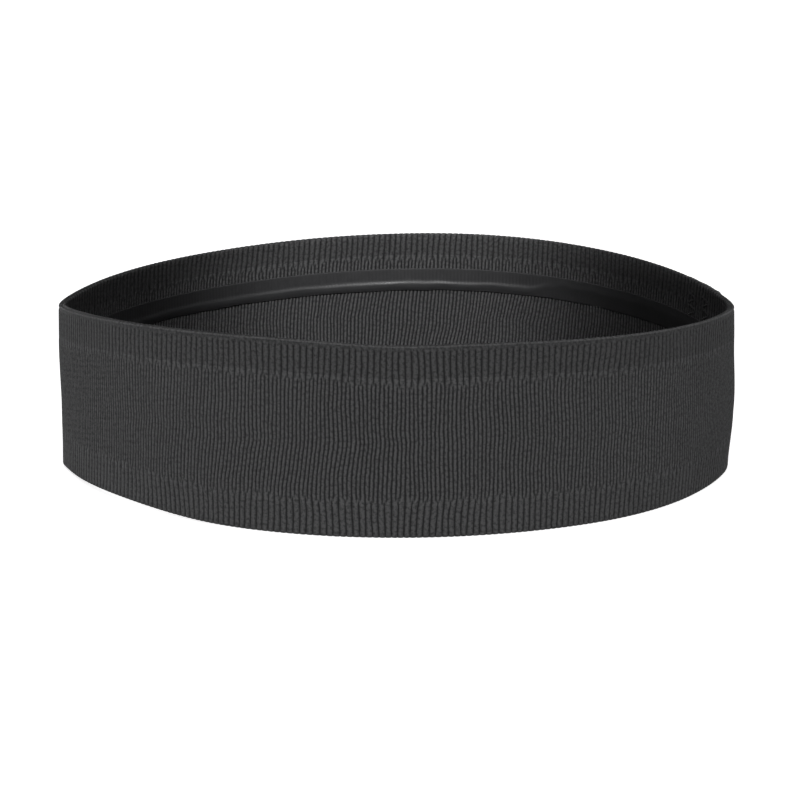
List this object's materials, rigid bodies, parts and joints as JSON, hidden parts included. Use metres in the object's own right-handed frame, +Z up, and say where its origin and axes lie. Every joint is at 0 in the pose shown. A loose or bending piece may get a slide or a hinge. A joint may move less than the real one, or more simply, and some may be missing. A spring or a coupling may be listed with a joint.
{
  "type": "sports headband",
  "caption": "Loop of ribbed elastic web with plain selvedges, a silicone gripper strip inside near the top edge and a lapped, zigzag-stitched seam.",
  "frame": {"origin": "centre of the loop on the plane it stands on", "axes": "+Z up along the band's height, +X towards the right side tip, -Y towards the front"},
  "size_m": [0.148, 0.122, 0.04],
  "materials": {
    "outer_cloth": "ribbed elastic weave, matt",
    "inner_cloth": "ribbed elastic weave, matt",
    "selvedge_yarn": "rolled selvedge, matt",
    "rubber_core": "natural rubber thread",
    "silicone": "smooth silicone, satin",
    "sewing_thread": "spun polyester thread"
  },
  "bodies": {
    "root": {"outer_web": "outer_cloth", "inner_web": "inner_cloth", "rubber_threads": "rubber_core", "top_selvedge": "selvedge_yarn", "bottom_selvedge": "selvedge_yarn", "gripper_strip": "silicone", "seam_lap": "outer_cloth", "seam_stitches": "sewing_thread"}
  },
  "joints": []
}
